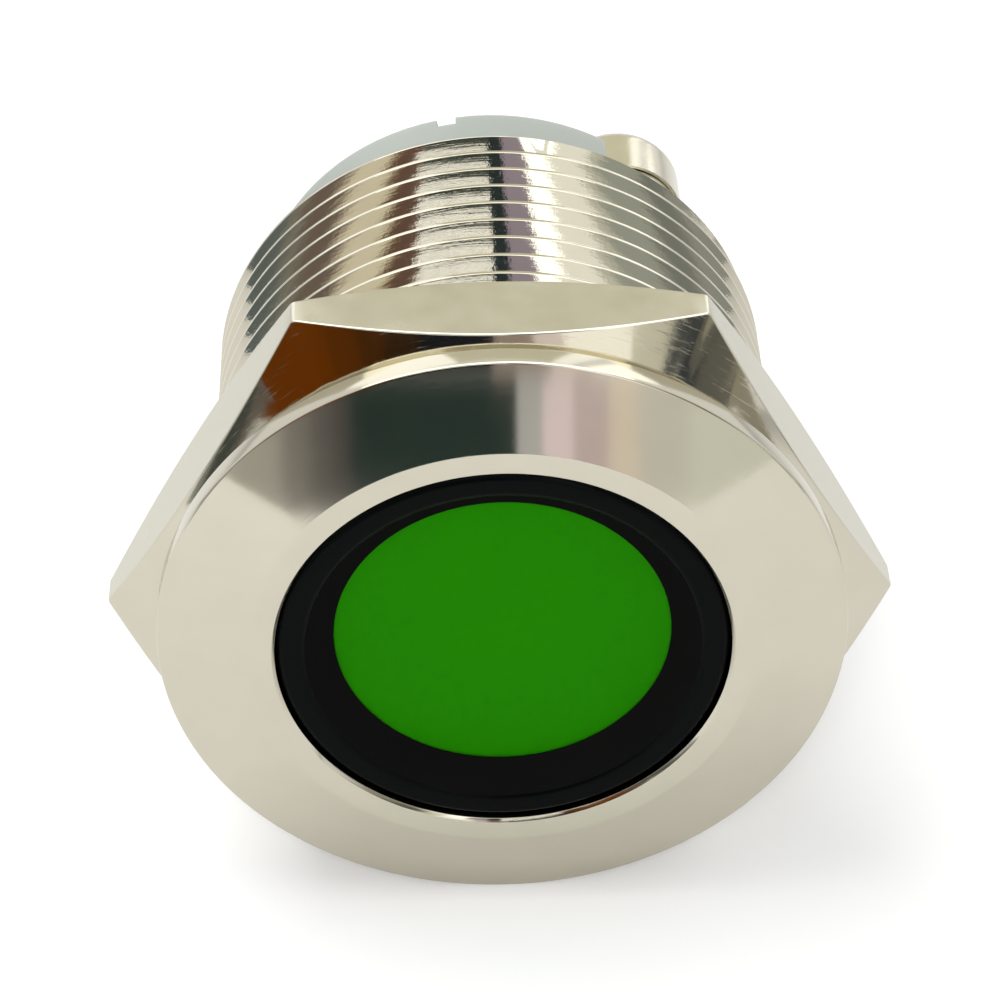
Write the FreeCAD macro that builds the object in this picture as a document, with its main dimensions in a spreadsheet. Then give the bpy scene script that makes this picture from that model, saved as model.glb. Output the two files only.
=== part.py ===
import FreeCAD, Part
import os
import Sketcher

# Panel pilot light for a 19 mm panel hole, in millimetres.
# +Y runs along the barrel from the lens to the terminals, and +Z is up. The origin is the centre of the
# panel seat: the rear face of the gasket, where the light meets the front of a panel.

DIMENSIONS = {
    # Thread on the barrel, drawn as rings. Its outer radius drives the other radii.
    "thread_radius": 9.45,
    "thread_pitch": 1.0,
    "thread_depth": 0.61,
    "crest_width": 0.125,
    "thread_start": 1.3,
    # Turned housing: a conical head on the threaded barrel.
    "head_overhang": 1.55,
    "head_thickness": 1.5,
    "cone_drop": 0.7,
    "face_land_width": 0.85,
    "mouth_chamfer": 0.12,
    "barrel_wall": 1.3,
    "barrel_length": 14.2,
    "barrel_chamfer": 0.5,
    "pocket_step": 0.9,
    "pocket_depth": 3.6,
    "web_step": 1.25,
    "web_thickness": 1.2,
    # Clearances.
    "slip_gap": 0.05,
    "running_gap": 0.05,
    "board_gap": 0.1,
    # Gasket under the head.
    "gasket_thickness": 0.4,
    "gasket_width": 1.0,
    # Hexagon nut, as wide over its flats as the head.
    "nut_thickness": 3.2,
    "nut_face_setback": 0.4,
    "nut_chamfer_angle": 28.0,
    "nut_mouth_chamfer": 0.4,
    # Black ring around the lens.
    "bezel_recess": 0.15,
    "bezel_land_width": 0.8,
    "bezel_dish": 1.06,
    "bezel_lip": 0.94,
    "bezel_shoulder": 0.3,
    "bezel_skirt": 0.9,
    # Lens, its seal and the reflector behind it.
    "seal_thickness": 0.3,
    "seal_width": 0.65,
    "lens_thickness": 0.9,
    "reflector_rim": 0.95,
    "reflector_taper": 0.9,
    "reflector_tail": 1.7,
    # Circuit boards and what they carry.
    "led_board_gap": 0.25,
    "board_thickness": 0.8,
    "chip_count": 3,
    "chip_offset": 0.1,
    "chip_length": 2.2,
    "chip_width": 1.8,
    "chip_height": 0.7,
    "header_pin_radius": 0.3,
    "header_pin_setback": 1.8,
    "resistor_length": 3.2,
    "resistor_width": 1.6,
    "resistor_height": 0.6,
    "resistor_setback": 0.7,
    "rectifier_length": 4.6,
    "rectifier_width": 3.8,
    "rectifier_height": 2.2,
    "capacitor_radius": 1.5,
    "capacitor_height": 2.4,
    "capacitor_offset": 0.15,
    # Moulded base that carries the terminals.
    "base_protrusion": 3.0,
    "base_wall": 1.4,
    "component_room": 2.6,
    "base_floor": 3.4,
    "terminal_land_drop": 2.1,
    "terminal_bay_width": 4.8,
    "terminal_bay_reach": 3.0,
    "notch_angle": 100.0,
    "notch_width": 0.65,
    "notch_depth": 0.4,
    "notch_reach": 1.0,
    "seal_groove_setback": 3.2,
    "seal_groove_width": 1.0,
    "seal_groove_depth": 0.8,
    "seal_squeeze_gap": 0.01,
    # Terminals: a threaded insert, a plate, a washer and a screw on each side.
    "terminal_count": 2,
    "terminal_angle": 42.0,
    "terminal_setback": 0.5,
    "insert_radius": 1.6,
    "insert_closed_end": 0.5,
    "terminal_pin_radius": 0.35,
    "plate_length": 3.7,
    "plate_width": 4.2,
    "plate_thickness": 0.8,
    "washer_radius": 2.15,
    "washer_thickness": 0.5,
    "screw_radius": 1.25,
    "screw_tip_gap": 0.2,
    "screw_tip_chamfer": 0.3,
    "screw_head_radius": 2.25,
    "screw_head_height": 2.6,
    "screw_head_round": 0.8,
    "recess_length": 2.6,
    "recess_width": 0.55,
    "recess_depth": 1.1,
}

# Cutters reach this far past the surface that they cut.
OVERSHOOT = 0.5

doc = FreeCAD.newDocument("PanelPilotLight")
sheet = doc.addObject("Spreadsheet::Sheet", "Sizes")
for row, (alias, dimension) in enumerate(DIMENSIONS.items(), start=1):
    sheet.set(f"A{row}", alias)
    sheet.set(f"B{row}", str(dimension))
    sheet.setAlias(f"B{row}", alias)
doc.recompute()

subparts = []


def size(alias):
    """The expression that reads one cell of the sheet."""
    return f"Sizes.{alias}"


def value(expression):
    """The number that an expression stands for."""
    return float(sheet.evalExpression(expression))


# Stations along the axis, front to rear.
SEAT_TO_FACE = f"({size('gasket_thickness')} + {size('head_thickness')})"
FACE = f"(-{SEAT_TO_FACE})"
POCKET_FLOOR = f"({FACE} + {size('pocket_depth')})"
WEB_REAR = f"({POCKET_FLOOR} + {size('web_thickness')})"
BEZEL_FRONT = f"({FACE} + {size('bezel_recess')})"
BEZEL_LIP_REAR = f"({BEZEL_FRONT} + {size('bezel_lip')})"
LENS_REAR = f"({BEZEL_LIP_REAR} + {size('seal_thickness')} + {size('lens_thickness')})"
LED_BOARD_FRONT = f"({WEB_REAR} + {size('reflector_tail')})"
LED_BOARD_REAR = f"({LED_BOARD_FRONT} + {size('board_thickness')})"
BASE_REAR = f"({size('barrel_length')} + {size('base_protrusion')})"
TERMINAL_LAND = f"({BASE_REAR} - {size('terminal_land_drop')})"
CAVITY_FLOOR = f"({TERMINAL_LAND} - {size('base_floor')})"
DRIVER_BOARD_REAR = f"({CAVITY_FLOOR} - {size('component_room')})"
DRIVER_BOARD_FRONT = f"({DRIVER_BOARD_REAR} - {size('board_thickness')})"
SEAL_STATION = f"({size('barrel_length')} - {size('seal_groove_setback')})"
PLATE_REAR = f"({TERMINAL_LAND} + {size('plate_thickness')})"
WASHER_FRONT = f"({PLATE_REAR} + {size('running_gap')})"
HEAD_FRONT = f"({WASHER_FRONT} + {size('washer_thickness')} + {size('running_gap')})"
SCREW_TIP = f"({CAVITY_FLOOR} + {size('insert_closed_end')} + {size('screw_tip_gap')})"

# Radii that follow from the thread, step by step.
HEAD_RADIUS = f"({size('thread_radius')} + {size('head_overhang')})"
CHAMBER_RADIUS = f"({size('thread_radius')} - {size('barrel_wall')})"
POCKET_RADIUS = f"({CHAMBER_RADIUS} - {size('pocket_step')})"
WEB_RADIUS = f"({POCKET_RADIUS} - {size('web_step')})"
FACE_LAND_RADIUS = f"({POCKET_RADIUS} + {size('face_land_width')})"
GASKET_BORE_RADIUS = f"({size('thread_radius')} + {size('slip_gap')})"
NUT_BORE_RADIUS = f"({size('thread_radius')} + {size('running_gap')})"
NUT_CORNER_RADIUS = f"(2 * {HEAD_RADIUS} / sqrt(3))"
NUT_FACE_RADIUS = f"({HEAD_RADIUS} - {size('nut_face_setback')})"
BEZEL_RADIUS = f"({POCKET_RADIUS} - {size('slip_gap')})"
BEZEL_LAND_RADIUS = f"({BEZEL_RADIUS} - {size('bezel_land_width')})"
VIEW_RADIUS = f"({BEZEL_LAND_RADIUS} - {size('bezel_dish')})"
LENS_POCKET_RADIUS = f"({BEZEL_RADIUS} - {size('bezel_skirt')})"
LENS_RADIUS = f"({LENS_POCKET_RADIUS} - {size('slip_gap')})"
LENS_BOSS_RADIUS = f"({LENS_RADIUS} - {size('seal_width')})"
REFLECTOR_FRONT_RADIUS = f"({LENS_RADIUS} - {size('reflector_rim')})"
REFLECTOR_REAR_RADIUS = f"({REFLECTOR_FRONT_RADIUS} - {size('reflector_taper')})"
LED_BOARD_RADIUS = f"({CHAMBER_RADIUS} - {size('led_board_gap')})"
CHIP_CIRCLE_RADIUS = f"({REFLECTOR_REAR_RADIUS} / 2 + {size('chip_offset')})"
BASE_RADIUS = f"({CHAMBER_RADIUS} - {size('slip_gap')})"
GROOVE_FLOOR_RADIUS = f"({BASE_RADIUS} - {size('seal_groove_depth')})"
CAVITY_RADIUS = f"({BASE_RADIUS} - {size('base_wall')})"
DRIVER_BOARD_RADIUS = f"({CAVITY_RADIUS} - {size('board_gap')})"
HEADER_PIN_CIRCLE = f"({DRIVER_BOARD_RADIUS} - {size('header_pin_setback')})"
RESISTOR_CIRCLE = f"({DRIVER_BOARD_RADIUS} / 2 - {size('resistor_setback')})"
CAPACITOR_CIRCLE = (
    f"(({DRIVER_BOARD_RADIUS} + {size('rectifier_width')} / 2) / 2 + {size('capacitor_offset')})"
)
TERMINAL_CIRCLE = f"({CAVITY_RADIUS} - {size('terminal_setback')})"
BARRIER_HALF_WIDTH = f"({TERMINAL_CIRCLE} - {size('terminal_bay_reach')})"
SCREW_BORE_RADIUS = f"({size('screw_radius')} + {size('running_gap')})"


def register(feature, label):
    """Name a finished sub-part and keep it for export."""
    feature.Label = label
    subparts.append(feature)
    return feature


def place(feature, across="0", station="0", up="0", turn="0"):
    """Put a sub-part at a point, turned about the barrel's axis from +X towards +Z."""
    point = f"vector({across}; {station}; {up})"
    feature.setExpression("Placement", f"placement({point}; rotation(vector(0; 1; 0); -({turn})))")


def origin_feature(body, role):
    """One of the body's own origin planes or axes."""
    return next(feature for feature in body.Origin.OriginFeatures if feature.Role == role)


def new_sketch(body, name, plane, station="0"):
    """A sketch on the radial XY plane, or across the axis on the XZ plane at a station."""
    sketch = body.newObject("Sketcher::SketchObject", name)
    sketch.AttachmentSupport = [(origin_feature(body, plane), "")]
    sketch.MapMode = "FlatFace"
    if plane == "XZ_Plane":
        sketch.setExpression("AttachmentOffset.Base.z", f"-({station})")
    return sketch


def pin_point(sketch, geometry, position, across, along):
    """Hold one point of the sketch at two distances from its origin."""
    for kind, expression in (("DistanceX", across), ("DistanceY", along)):
        constraint = Sketcher.Constraint(kind, -1, 1, geometry, position, value(expression))
        index = sketch.addConstraint(constraint)
        sketch.setExpression(f"Constraints[{index}]", expression)


def outline_sketch(body, name, plane, points, station="0"):
    """A closed outline of straight lines whose corners follow the sheet."""
    sketch = new_sketch(body, name, plane, station)
    corners = [FreeCAD.Vector(value(across), value(along), 0) for across, along in points]
    count = len(corners)
    for index in range(count):
        sketch.addGeometry(Part.LineSegment(corners[index], corners[(index + 1) % count]), False)
    for index in range(count):
        sketch.addConstraint(Sketcher.Constraint("Coincident", index, 2, (index + 1) % count, 1))
    for index, (across, along) in enumerate(points):
        pin_point(sketch, index, 1, across, along)
    return sketch


def circle_sketch(body, name, across, along, radius, station="0"):
    """A circle across the axis."""
    sketch = new_sketch(body, name, "XZ_Plane", station)
    centre = FreeCAD.Vector(value(across), value(along), 0)
    sketch.addGeometry(Part.Circle(centre, FreeCAD.Vector(0, 0, 1), value(radius)), False)
    pin_point(sketch, 0, 3, across, along)
    index = sketch.addConstraint(Sketcher.Constraint("Radius", 0, value(radius)))
    sketch.setExpression(f"Constraints[{index}]", radius)
    return sketch


def new_body(label):
    """An empty body with its origin ready for sketches."""
    body = doc.addObject("PartDesign::Body", f"{label}_body")
    register(body, label)
    doc.recompute()
    return body


def revolve(body, name, points, cut=False):
    """Turn an outline of (radius, station) corners about the barrel's axis, as stock or as a cut."""
    sketch = outline_sketch(body, f"{name}_outline", "XY_Plane", points)
    kind = "PartDesign::Groove" if cut else "PartDesign::Revolution"
    feature = body.newObject(kind, name)
    feature.Profile = (sketch, [""])
    feature.ReferenceAxis = (sketch, ["V_Axis"])
    feature.Angle = 360
    doc.recompute()
    return feature


def turned(label, points):
    """A turned piece: its outline, with stations counted from its own front end."""
    body = new_body(label)
    revolve(body, f"{label}_turning", points)
    return body


def pad(body, name, sketch, length):
    """Stock that grows from a sketch towards the rear."""
    feature = body.newObject("PartDesign::Pad", name)
    feature.Profile = (sketch, [""])
    feature.Reversed = True
    feature.setExpression("Length", length)
    doc.recompute()
    return feature


def pocket(body, name, sketch, length=None):
    """A cut from a sketch towards the rear, to a length or right through."""
    before = body.Shape.Volume
    feature = body.newObject("PartDesign::Pocket", name)
    feature.Profile = (sketch, [""])
    if length is None:
        feature.Type = "ThroughAll"
    else:
        feature.setExpression("Length", length)
    doc.recompute()
    if not body.Shape.Volume < before:
        raise RuntimeError(f"{name} cut nothing")
    return feature


def around(body, name, originals, occurrences):
    """Repeat cuts evenly around the barrel's axis."""
    pattern = body.newObject("PartDesign::PolarPattern", name)
    pattern.Originals = originals
    pattern.Axis = (origin_feature(body, "Y_Axis"), [""])
    pattern.Angle = 360
    pattern.setExpression("Occurrences", occurrences)
    body.Tip = pattern
    doc.recompute()
    return pattern


def tube_outline(inner, outer, length):
    """The outline of a plain ring or tube."""
    return [(inner, "0"), (outer, "0"), (outer, length), (inner, length)]


def block_outline(length, width):
    """The outline of a block, centred across the axis."""
    return [
        (f"-{length} / 2", f"-{width} / 2"),
        (f"{length} / 2", f"-{width} / 2"),
        (f"{length} / 2", f"{width} / 2"),
        (f"-{length} / 2", f"{width} / 2"),
    ]


def block(label, length, width, thickness):
    """A rectangular piece that grows towards the rear."""
    body = new_body(label)
    sketch = outline_sketch(body, f"{label}_outline", "XZ_Plane", block_outline(length, width))
    pad(body, f"{label}_block", sketch, thickness)
    return body


def on_circle(feature, radius, angle, station):
    """Put a sub-part on a circle around the axis, with its own +X pointing outwards."""
    place(feature, f"{radius} * cos({angle})", station, f"{radius} * sin({angle})", angle)


def terminal_direction(index):
    """The angle of one terminal around the axis."""
    return f"({size('terminal_angle')} + {index} * 360 / {size('terminal_count')})"


def build_housing():
    """The head and the threaded barrel, turned from one bar."""
    end = f"({SEAT_TO_FACE} + {size('barrel_length')})"
    web_rear = f"({size('pocket_depth')} + {size('web_thickness')})"
    body = turned("housing", [
        (f"{POCKET_RADIUS} + {size('mouth_chamfer')}", "0"),
        (FACE_LAND_RADIUS, "0"),
        (HEAD_RADIUS, size("cone_drop")),
        (HEAD_RADIUS, size("head_thickness")),
        (size("thread_radius"), size("head_thickness")),
        (size("thread_radius"), f"{end} - {size('barrel_chamfer')}"),
        (f"{size('thread_radius')} - {size('barrel_chamfer')}", end),
        (CHAMBER_RADIUS, end),
        (CHAMBER_RADIUS, web_rear),
        (WEB_RADIUS, web_rear),
        (WEB_RADIUS, size("pocket_depth")),
        (POCKET_RADIUS, size("pocket_depth")),
        (POCKET_RADIUS, size("mouth_chamfer")),
    ])
    centre = f"({SEAT_TO_FACE} + {size('thread_start')})"
    mouth = f"(({size('thread_pitch')} - {size('crest_width')}) / 2)"
    root = f"({mouth} - {size('thread_depth')} * tan(30))"
    outside = f"({mouth} + {OVERSHOOT} * tan(30))"
    root_radius = f"{size('thread_radius')} - {size('thread_depth')}"
    outside_radius = f"{size('thread_radius')} + {OVERSHOOT}"
    ring = revolve(body, "thread_ring", [
        (root_radius, f"{centre} - {root}"),
        (root_radius, f"{centre} + {root}"),
        (outside_radius, f"{centre} + {outside}"),
        (outside_radius, f"{centre} - {outside}"),
    ], cut=True)
    thread = body.newObject("PartDesign::LinearPattern", "thread")
    thread.Originals = [ring]
    thread.Direction = (origin_feature(body, "Y_Axis"), [""])
    thread.Mode = "Spacing"
    thread.setExpression("Offset", size("thread_pitch"))
    threaded = f"{size('barrel_length')} - {size('thread_start')}"
    thread.setExpression("Occurrences", f"floor(({threaded}) / {size('thread_pitch')}) + 1")
    body.Tip = thread
    place(body, station=FACE)


def build_gasket():
    """The flat rubber ring under the head."""
    outer = f"({GASKET_BORE_RADIUS} + {size('gasket_width')})"
    ring = turned("panel_gasket", tube_outline(GASKET_BORE_RADIUS, outer, size("gasket_thickness")))
    place(ring, station=f"-{size('gasket_thickness')}")


def build_nut():
    """The hexagon nut, chamfered on both faces."""
    body = new_body("mounting_nut")
    corners = []
    for corner in range(6):
        angle = 60 * corner
        corners.append((f"{NUT_CORNER_RADIUS} * cos({angle})", f"{NUT_CORNER_RADIUS} * sin({angle})"))
    thickness = size("nut_thickness")
    pad(body, "hexagon", outline_sketch(body, "hexagon_outline", "XZ_Plane", corners), thickness)
    outside = f"({NUT_CORNER_RADIUS} + {OVERSHOOT})"
    rise = f"({outside} - {NUT_FACE_RADIUS}) * tan({size('nut_chamfer_angle')})"
    revolve(body, "front_chamfer", [
        (NUT_FACE_RADIUS, "0"),
        (outside, "0"),
        (outside, rise),
    ], cut=True)
    revolve(body, "rear_chamfer", [
        (NUT_FACE_RADIUS, thickness),
        (outside, thickness),
        (outside, f"{thickness} - {rise}"),
    ], cut=True)
    mouth = f"({NUT_BORE_RADIUS} + {size('nut_mouth_chamfer')})"
    revolve(body, "nut_bore", [
        ("0", "0"),
        (mouth, "0"),
        (NUT_BORE_RADIUS, size("nut_mouth_chamfer")),
        (NUT_BORE_RADIUS, f"{thickness} - {size('nut_mouth_chamfer')}"),
        (mouth, thickness),
        ("0", thickness),
    ], cut=True)
    place(body, station=size("running_gap"))


def build_bezel():
    """The black ring: a dished lip in front of the lens and a skirt around it."""
    length = f"({size('pocket_depth')} - {size('bezel_recess')})"
    shoulder = size("bezel_shoulder")
    body = turned("bezel", [
        (BEZEL_LAND_RADIUS, "0"),
        (f"{BEZEL_RADIUS} - {shoulder}", "0"),
        (BEZEL_RADIUS, shoulder),
        (BEZEL_RADIUS, length),
        (LENS_POCKET_RADIUS, length),
        (LENS_POCKET_RADIUS, size("bezel_lip")),
        (VIEW_RADIUS, size("bezel_lip")),
    ])
    place(body, station=BEZEL_FRONT)


def build_lens():
    """The lens, with a boss that fills its seal, and the seal behind the lip."""
    seal_bore = f"({LENS_BOSS_RADIUS} + {size('slip_gap')})"
    seal = turned("lens_seal", tube_outline(seal_bore, LENS_RADIUS, size("seal_thickness")))
    place(seal, station=BEZEL_LIP_REAR)
    rear = f"({size('seal_thickness')} + {size('lens_thickness')})"
    lens = turned("lens", [
        ("0", "0"),
        (LENS_BOSS_RADIUS, "0"),
        (LENS_BOSS_RADIUS, size("seal_thickness")),
        (LENS_RADIUS, size("seal_thickness")),
        (LENS_RADIUS, rear),
        ("0", rear),
    ])
    place(lens, station=BEZEL_LIP_REAR)


def build_reflector():
    """The white reflector: its flange holds the lens, and its tail stands on the light's board."""
    flange = f"({POCKET_FLOOR} - {LENS_REAR})"
    length = f"({LED_BOARD_FRONT} - {LENS_REAR})"
    tail_radius = f"({WEB_RADIUS} - {size('slip_gap')})"
    body = turned("reflector", [
        (REFLECTOR_FRONT_RADIUS, "0"),
        (LENS_RADIUS, "0"),
        (LENS_RADIUS, flange),
        (tail_radius, flange),
        (tail_radius, length),
        (REFLECTOR_REAR_RADIUS, length),
    ])
    place(body, station=LENS_REAR)


def build_led_board():
    """The front circuit board and its light-emitting chips."""
    board = turned("led_board", tube_outline("0", LED_BOARD_RADIUS, size("board_thickness")))
    place(board, station=LED_BOARD_FRONT)
    for index in range(int(value(size("chip_count")))):
        chip = block(f"led_chip_{index + 1}", size("chip_width"), size("chip_length"), size("chip_height"))
        angle = f"(90 + {index} * 360 / {size('chip_count')})"
        station = f"{LED_BOARD_FRONT} - {size('chip_height')}"
        on_circle(chip, CHIP_CIRCLE_RADIUS, angle, station)


def build_driver_board():
    """The rear circuit board, the pins that carry it and the parts that feed the chips."""
    board = turned("driver_board", tube_outline("0", DRIVER_BOARD_RADIUS, size("board_thickness")))
    place(board, station=DRIVER_BOARD_FRONT)
    spacing = f"({DRIVER_BOARD_FRONT} - {LED_BOARD_REAR})"
    for side in range(2):
        across_terminals = f"({size('terminal_angle')} + 90 + {side} * 180)"
        along_terminals = f"({size('terminal_angle')} + {side} * 180)"
        pin = turned(f"header_pin_{side + 1}", tube_outline("0", size("header_pin_radius"), spacing))
        on_circle(pin, HEADER_PIN_CIRCLE, across_terminals, LED_BOARD_REAR)
        resistor = block(f"series_resistor_{side + 1}", size("resistor_width"),
                         size("resistor_length"), size("resistor_height"))
        station = f"{DRIVER_BOARD_FRONT} - {size('resistor_height')}"
        on_circle(resistor, RESISTOR_CIRCLE, along_terminals, station)
    rectifier = block("rectifier", size("rectifier_length"), size("rectifier_width"),
                      size("rectifier_height"))
    place(rectifier, station=DRIVER_BOARD_REAR, turn=size("terminal_angle"))
    capacitor = turned("capacitor",
                       tube_outline("0", size("capacitor_radius"), size("capacitor_height")))
    on_circle(capacitor, CAPACITOR_CIRCLE, f"({size('terminal_angle')} + 90)", DRIVER_BOARD_REAR)


def notch_corner(reach, side):
    """One corner of the rim's notch, at a radius and on one side of its middle line."""
    angle = f"({size('notch_angle')} - {size('terminal_angle')})"
    half = f"({side} * {size('notch_width')} / 2)"
    return (
        f"{reach} * cos({angle}) - {half} * sin({angle})",
        f"{reach} * sin({angle}) + {half} * cos({angle})",
    )


def build_base():
    """The moulded base: a cup around the rear board with a bay for each terminal at the back."""
    length = f"({BASE_REAR} - {LED_BOARD_REAR})"
    cavity = f"({CAVITY_FLOOR} - {LED_BOARD_REAR})"
    groove_front = f"({SEAL_STATION} - {LED_BOARD_REAR} - {size('seal_groove_width')} / 2)"
    groove_rear = f"({groove_front} + {size('seal_groove_width')})"
    body = turned("terminal_base", [
        (CAVITY_RADIUS, "0"),
        (BASE_RADIUS, "0"),
        (BASE_RADIUS, groove_front),
        (GROOVE_FLOOR_RADIUS, groove_front),
        (GROOVE_FLOOR_RADIUS, groove_rear),
        (BASE_RADIUS, groove_rear),
        (BASE_RADIUS, length),
        ("0", length),
        ("0", cavity),
        (CAVITY_RADIUS, cavity),
    ])
    land = f"({TERMINAL_LAND} - {LED_BOARD_REAR})"
    bay_end = f"({BASE_RADIUS} + {OVERSHOOT})"
    half_bay = f"{size('terminal_bay_width')} / 2"
    bay_sketch = outline_sketch(body, "bay_outline", "XZ_Plane", [
        (BARRIER_HALF_WIDTH, f"-{half_bay}"),
        (bay_end, f"-{half_bay}"),
        (bay_end, half_bay),
        (BARRIER_HALF_WIDTH, half_bay),
    ], land)
    bay = pocket(body, "terminal_bay", bay_sketch)
    seat_sketch = circle_sketch(body, "insert_outline", TERMINAL_CIRCLE, "0",
                                size("insert_radius"), cavity)
    seat = pocket(body, "insert_hole", seat_sketch)
    around(body, "terminal_sides", [bay, seat], size("terminal_count"))
    inside = f"({BASE_RADIUS} - {size('notch_reach')})"
    corners = [notch_corner(inside, -1), notch_corner(bay_end, -1),
               notch_corner(bay_end, 1), notch_corner(inside, 1)]
    notch_floor = f"({length} - {size('notch_depth')})"
    pocket(body, "rim_notch", outline_sketch(body, "notch_outline", "XZ_Plane", corners, notch_floor))
    place(body, station=LED_BOARD_REAR, turn=size("terminal_angle"))


def build_base_seal():
    """The round rubber ring between the base and the barrel's bore."""
    ring = doc.addObject("Part::Torus", "base_seal_ring")
    register(ring, "base_seal")
    room = f"({CHAMBER_RADIUS} - {GROOVE_FLOOR_RADIUS})"
    ring.setExpression("Radius1", f"{GROOVE_FLOOR_RADIUS} + {room} / 2")
    ring.setExpression("Radius2", f"{room} / 2 - {size('seal_squeeze_gap')}")
    point = f"vector(0; {SEAL_STATION}; 0)"
    ring.setExpression("Placement", f"placement({point}; rotation(vector(1; 0; 0); -90))")


def edges_on_circle(shape, radius, station):
    """The names of a piece's round edges of one radius at one station of its own."""
    names = []
    for index, edge in enumerate(shape.Edges, start=1):
        curve = edge.Curve
        if not isinstance(curve, Part.Circle):
            continue
        if abs(curve.Radius - radius) < 1e-6 and abs(curve.Center.y - station) < 1e-6:
            names.append(f"Edge{index}")
    return names


def build_screw(label):
    """A pan-headed terminal screw with a cross recess, counted from the head's underside."""
    tip = f"({SCREW_TIP} - {HEAD_FRONT})"
    body = turned(label, [
        ("0", tip),
        (f"{size('screw_radius')} - {size('screw_tip_chamfer')}", tip),
        (size("screw_radius"), f"{tip} + {size('screw_tip_chamfer')}"),
        (size("screw_radius"), "0"),
        (size("screw_head_radius"), "0"),
        (size("screw_head_radius"), size("screw_head_height")),
        ("0", size("screw_head_height")),
    ])
    turning = body.Tip
    top = value(size("screw_head_height"))
    top_edges = edges_on_circle(turning.Shape, value(size("screw_head_radius")), top)
    rounding = body.newObject("PartDesign::Fillet", f"{label}_round")
    rounding.Base = (turning, top_edges)
    rounding.setExpression("Radius", size("screw_head_round"))
    doc.recompute()
    floor = f"({size('screw_head_height')} - {size('recess_depth')})"
    slot_outline = block_outline(size("recess_length"), size("recess_width"))
    slot_sketch = outline_sketch(body, f"{label}_slot_outline", "XZ_Plane", slot_outline, floor)
    slot = pocket(body, f"{label}_slot", slot_sketch)
    around(body, f"{label}_recess", [slot], "4")
    return body


def build_terminal(index):
    """One terminal: the insert in the base, its solder pin, the plate, the washer and the screw."""
    number = index + 1
    direction = terminal_direction(index)
    circle = TERMINAL_CIRCLE
    insert = turned(f"terminal_insert_{number}", [
        ("0", "0"),
        (size("insert_radius"), "0"),
        (size("insert_radius"), size("base_floor")),
        (SCREW_BORE_RADIUS, size("base_floor")),
        (SCREW_BORE_RADIUS, size("insert_closed_end")),
        ("0", size("insert_closed_end")),
    ])
    on_circle(insert, circle, direction, CAVITY_FLOOR)
    pin_length = f"({CAVITY_FLOOR} - {DRIVER_BOARD_REAR})"
    pin = turned(f"terminal_pin_{number}", tube_outline("0", size("terminal_pin_radius"), pin_length))
    on_circle(pin, circle, direction, DRIVER_BOARD_REAR)
    plate = block(f"terminal_plate_{number}", size("plate_length"), size("plate_width"),
                  size("plate_thickness"))
    hole_sketch = circle_sketch(plate, f"plate_hole_outline_{number}", "0", "0", SCREW_BORE_RADIUS)
    pocket(plate, f"plate_hole_{number}", hole_sketch)
    on_circle(plate, circle, direction, TERMINAL_LAND)
    washer = turned(f"clamp_washer_{number}", tube_outline(
        SCREW_BORE_RADIUS, size("washer_radius"), size("washer_thickness")))
    on_circle(washer, circle, direction, WASHER_FRONT)
    screw = build_screw(f"terminal_screw_{number}")
    on_circle(screw, circle, direction, HEAD_FRONT)


def check_document():
    """Stop if any object failed or any sub-part has no sound shape."""
    for item in doc.Objects:
        if "Invalid" in item.State or "Error" in item.State:
            raise RuntimeError(f"{item.Label} failed: {item.State}")
    for item in subparts:
        if item.Shape.isNull() or not item.Shape.isValid():
            raise RuntimeError(f"{item.Label} has no valid shape")


def export_parts():
    """Write one file for each sub-part, named after it."""
    os.makedirs("parts", exist_ok=True)
    for item in subparts:
        item.Shape.exportStep(f"parts/{item.Label}.step")
        print(f"{item.Label}: {item.Shape.Volume:.2f} mm3, {len(item.Shape.Solids)} solid")


build_housing()
build_gasket()
build_nut()
build_bezel()
build_lens()
build_reflector()
build_led_board()
build_driver_board()
build_base()
build_base_seal()
for terminal in range(int(value(size("terminal_count")))):
    build_terminal(terminal)
doc.recompute()
check_document()
export_parts()
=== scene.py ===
"""A round metal panel pilot light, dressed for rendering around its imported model."""

import logging
import math
from contextlib import contextmanager
from dataclasses import dataclass, field
from enum import Enum
from typing import Callable, Iterator, Sequence

import bmesh
import bpy
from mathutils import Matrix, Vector


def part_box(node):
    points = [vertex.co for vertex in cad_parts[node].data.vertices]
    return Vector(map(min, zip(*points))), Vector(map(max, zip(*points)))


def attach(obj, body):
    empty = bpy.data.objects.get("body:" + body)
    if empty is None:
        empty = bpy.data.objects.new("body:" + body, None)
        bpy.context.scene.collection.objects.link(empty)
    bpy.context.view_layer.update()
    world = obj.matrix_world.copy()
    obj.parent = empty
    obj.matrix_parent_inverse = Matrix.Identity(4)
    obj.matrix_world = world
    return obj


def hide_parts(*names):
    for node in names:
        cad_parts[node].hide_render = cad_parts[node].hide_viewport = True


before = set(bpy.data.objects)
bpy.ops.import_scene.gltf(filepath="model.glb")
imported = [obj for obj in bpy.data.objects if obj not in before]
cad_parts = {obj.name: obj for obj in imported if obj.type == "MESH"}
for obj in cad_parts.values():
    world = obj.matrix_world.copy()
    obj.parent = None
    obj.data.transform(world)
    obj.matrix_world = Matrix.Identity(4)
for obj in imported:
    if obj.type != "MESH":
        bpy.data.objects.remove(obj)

logging.basicConfig(level=logging.INFO, format="%(message)s")
LOG = logging.getLogger("pilot_light")

Three = tuple[float, float, float]
Colour = Three
Point = tuple[float, float]
Material = bpy.types.Material
Mesh = bpy.types.Mesh
Node = bpy.types.Node
Piece = bpy.types.Object
Socket = bpy.types.NodeSocket
Tree = bpy.types.NodeTree

MM = 0.001
# Points closer than this, in metres, are one.
MERGE_GAP = 1e-7
RIDGE_GAP = 1e-8
# Angles in degrees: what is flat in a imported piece, what gets a rounded edge, and what stays sharp.
FLAT_ANGLE = 0.4
BEVEL_ANGLE = 40.0
SHARP_ANGLE = 32.0
NORMAL_WEIGHT = 60
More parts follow.
